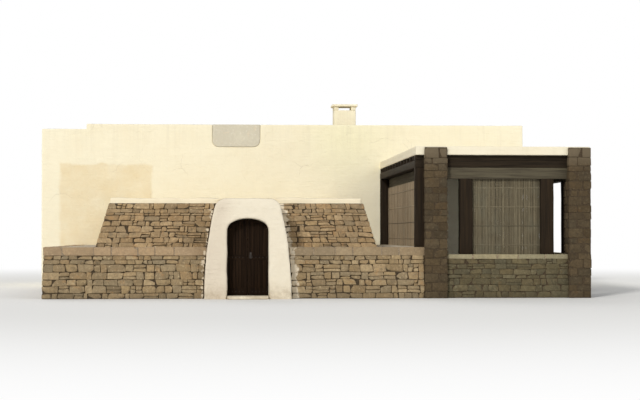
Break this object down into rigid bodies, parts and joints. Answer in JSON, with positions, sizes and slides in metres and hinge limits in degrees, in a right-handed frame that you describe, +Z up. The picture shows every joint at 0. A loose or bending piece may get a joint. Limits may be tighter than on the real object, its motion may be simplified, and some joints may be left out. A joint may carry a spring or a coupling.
{
  "type": "trullo house with stepped dry-stone trullo, flat-roofed house and porch",
  "caption": "Stepped, flat-topped dry-stone trullo with a whitewashed arched doorway, in front of a limewashed flat-roofed house with a timber porch.",
  "frame": {"origin": "ground level in the middle of the front doorway, on the foot of the trullo's front face", "axes": "+X to the right seen from the front, +Y into the building, +Z up"},
  "size_m": [15.1025, 14.85, 5.82],
  "materials": {
    "limewash": "limewashed render, matt",
    "rubble": "rough dry stone",
    "pale_stone": "weathered pale stone",
    "dome_stone": "rough dressed stone",
    "panel_stone": "bare tan stone",
    "shade_wall": "unpainted tufa masonry",
    "dark_timber": "dark oiled timber",
    "old_timber": "weathered timber",
    "door_timber": "dark stained boards",
    "cane": "aged cane",
    "iron": "forged, dull black"
  },
  "bodies": {
    "building": {"threshold": "limewash", "portal_left_jamb": "limewash", "portal_right_jamb": "limewash", "portal_arch_head": "limewash", "door_frame": "door_timber", "hinge_pintles": "iron", "lower_wall_left": "rubble", "lower_wall_right": "rubble", "upper_wall_left": "rubble", "upper_wall_right": "rubble", "chamber_back_wall": "rubble", "passage_lintel": "dome_stone", "corbel_ring_1": "dome_stone", "corbel_ring_2": "dome_stone", "corbel_ring_3": "dome_stone", "corbel_ring_4": "dome_stone", "corbel_ring_5": "dome_stone", "dome_capstone": "dome_stone", "terrace_screed": "limewash", "terrace_coping": "limewash", "low_wall_copings": "pale_stone", "chamber_floor": "pale_stone", "house_front_wall": "limewash", "porch_back_wall": "shade_wall", "house_end_walls": "limewash", "house_rear_wall": "limewash", "house_floor": "pale_stone", "house_roof": "limewash", "stone_panel": "panel_stone", "rain_spouts": "pale_stone", "chimney_stack": "limewash", "chimney_cap": "limewash", "fixed_doors": "door_timber", "porch_piers": "rubble", "porch_parapet": "rubble", "porch_posts": "dark_timber", "plate_beams": "old_timber", "roof_beams": "dark_timber", "roof_joists": "dark_timber", "porch_roof": "limewash", "cane_screens": "cane"},
    "left_leaf": {"door_leaf_left": "door_timber", "strap_hinges_left": "iron"},
    "right_leaf": {"door_leaf_right": "door_timber", "strap_hinges_right": "iron"}
  },
  "joints": [
    {"name": "left_leaf_swing", "type": "hinge", "parent": "building", "child": "left_leaf", "pos_m": [-0.5746, 0.058, 0], "axis": [0, 0, 1], "range_deg": [0, 90]},
    {"name": "right_leaf_swing", "type": "hinge", "parent": "building", "child": "right_leaf", "pos_m": [0.5746, 0.058, 0], "axis": [0, 0, -1], "range_deg": [0, 90]}
  ]
}
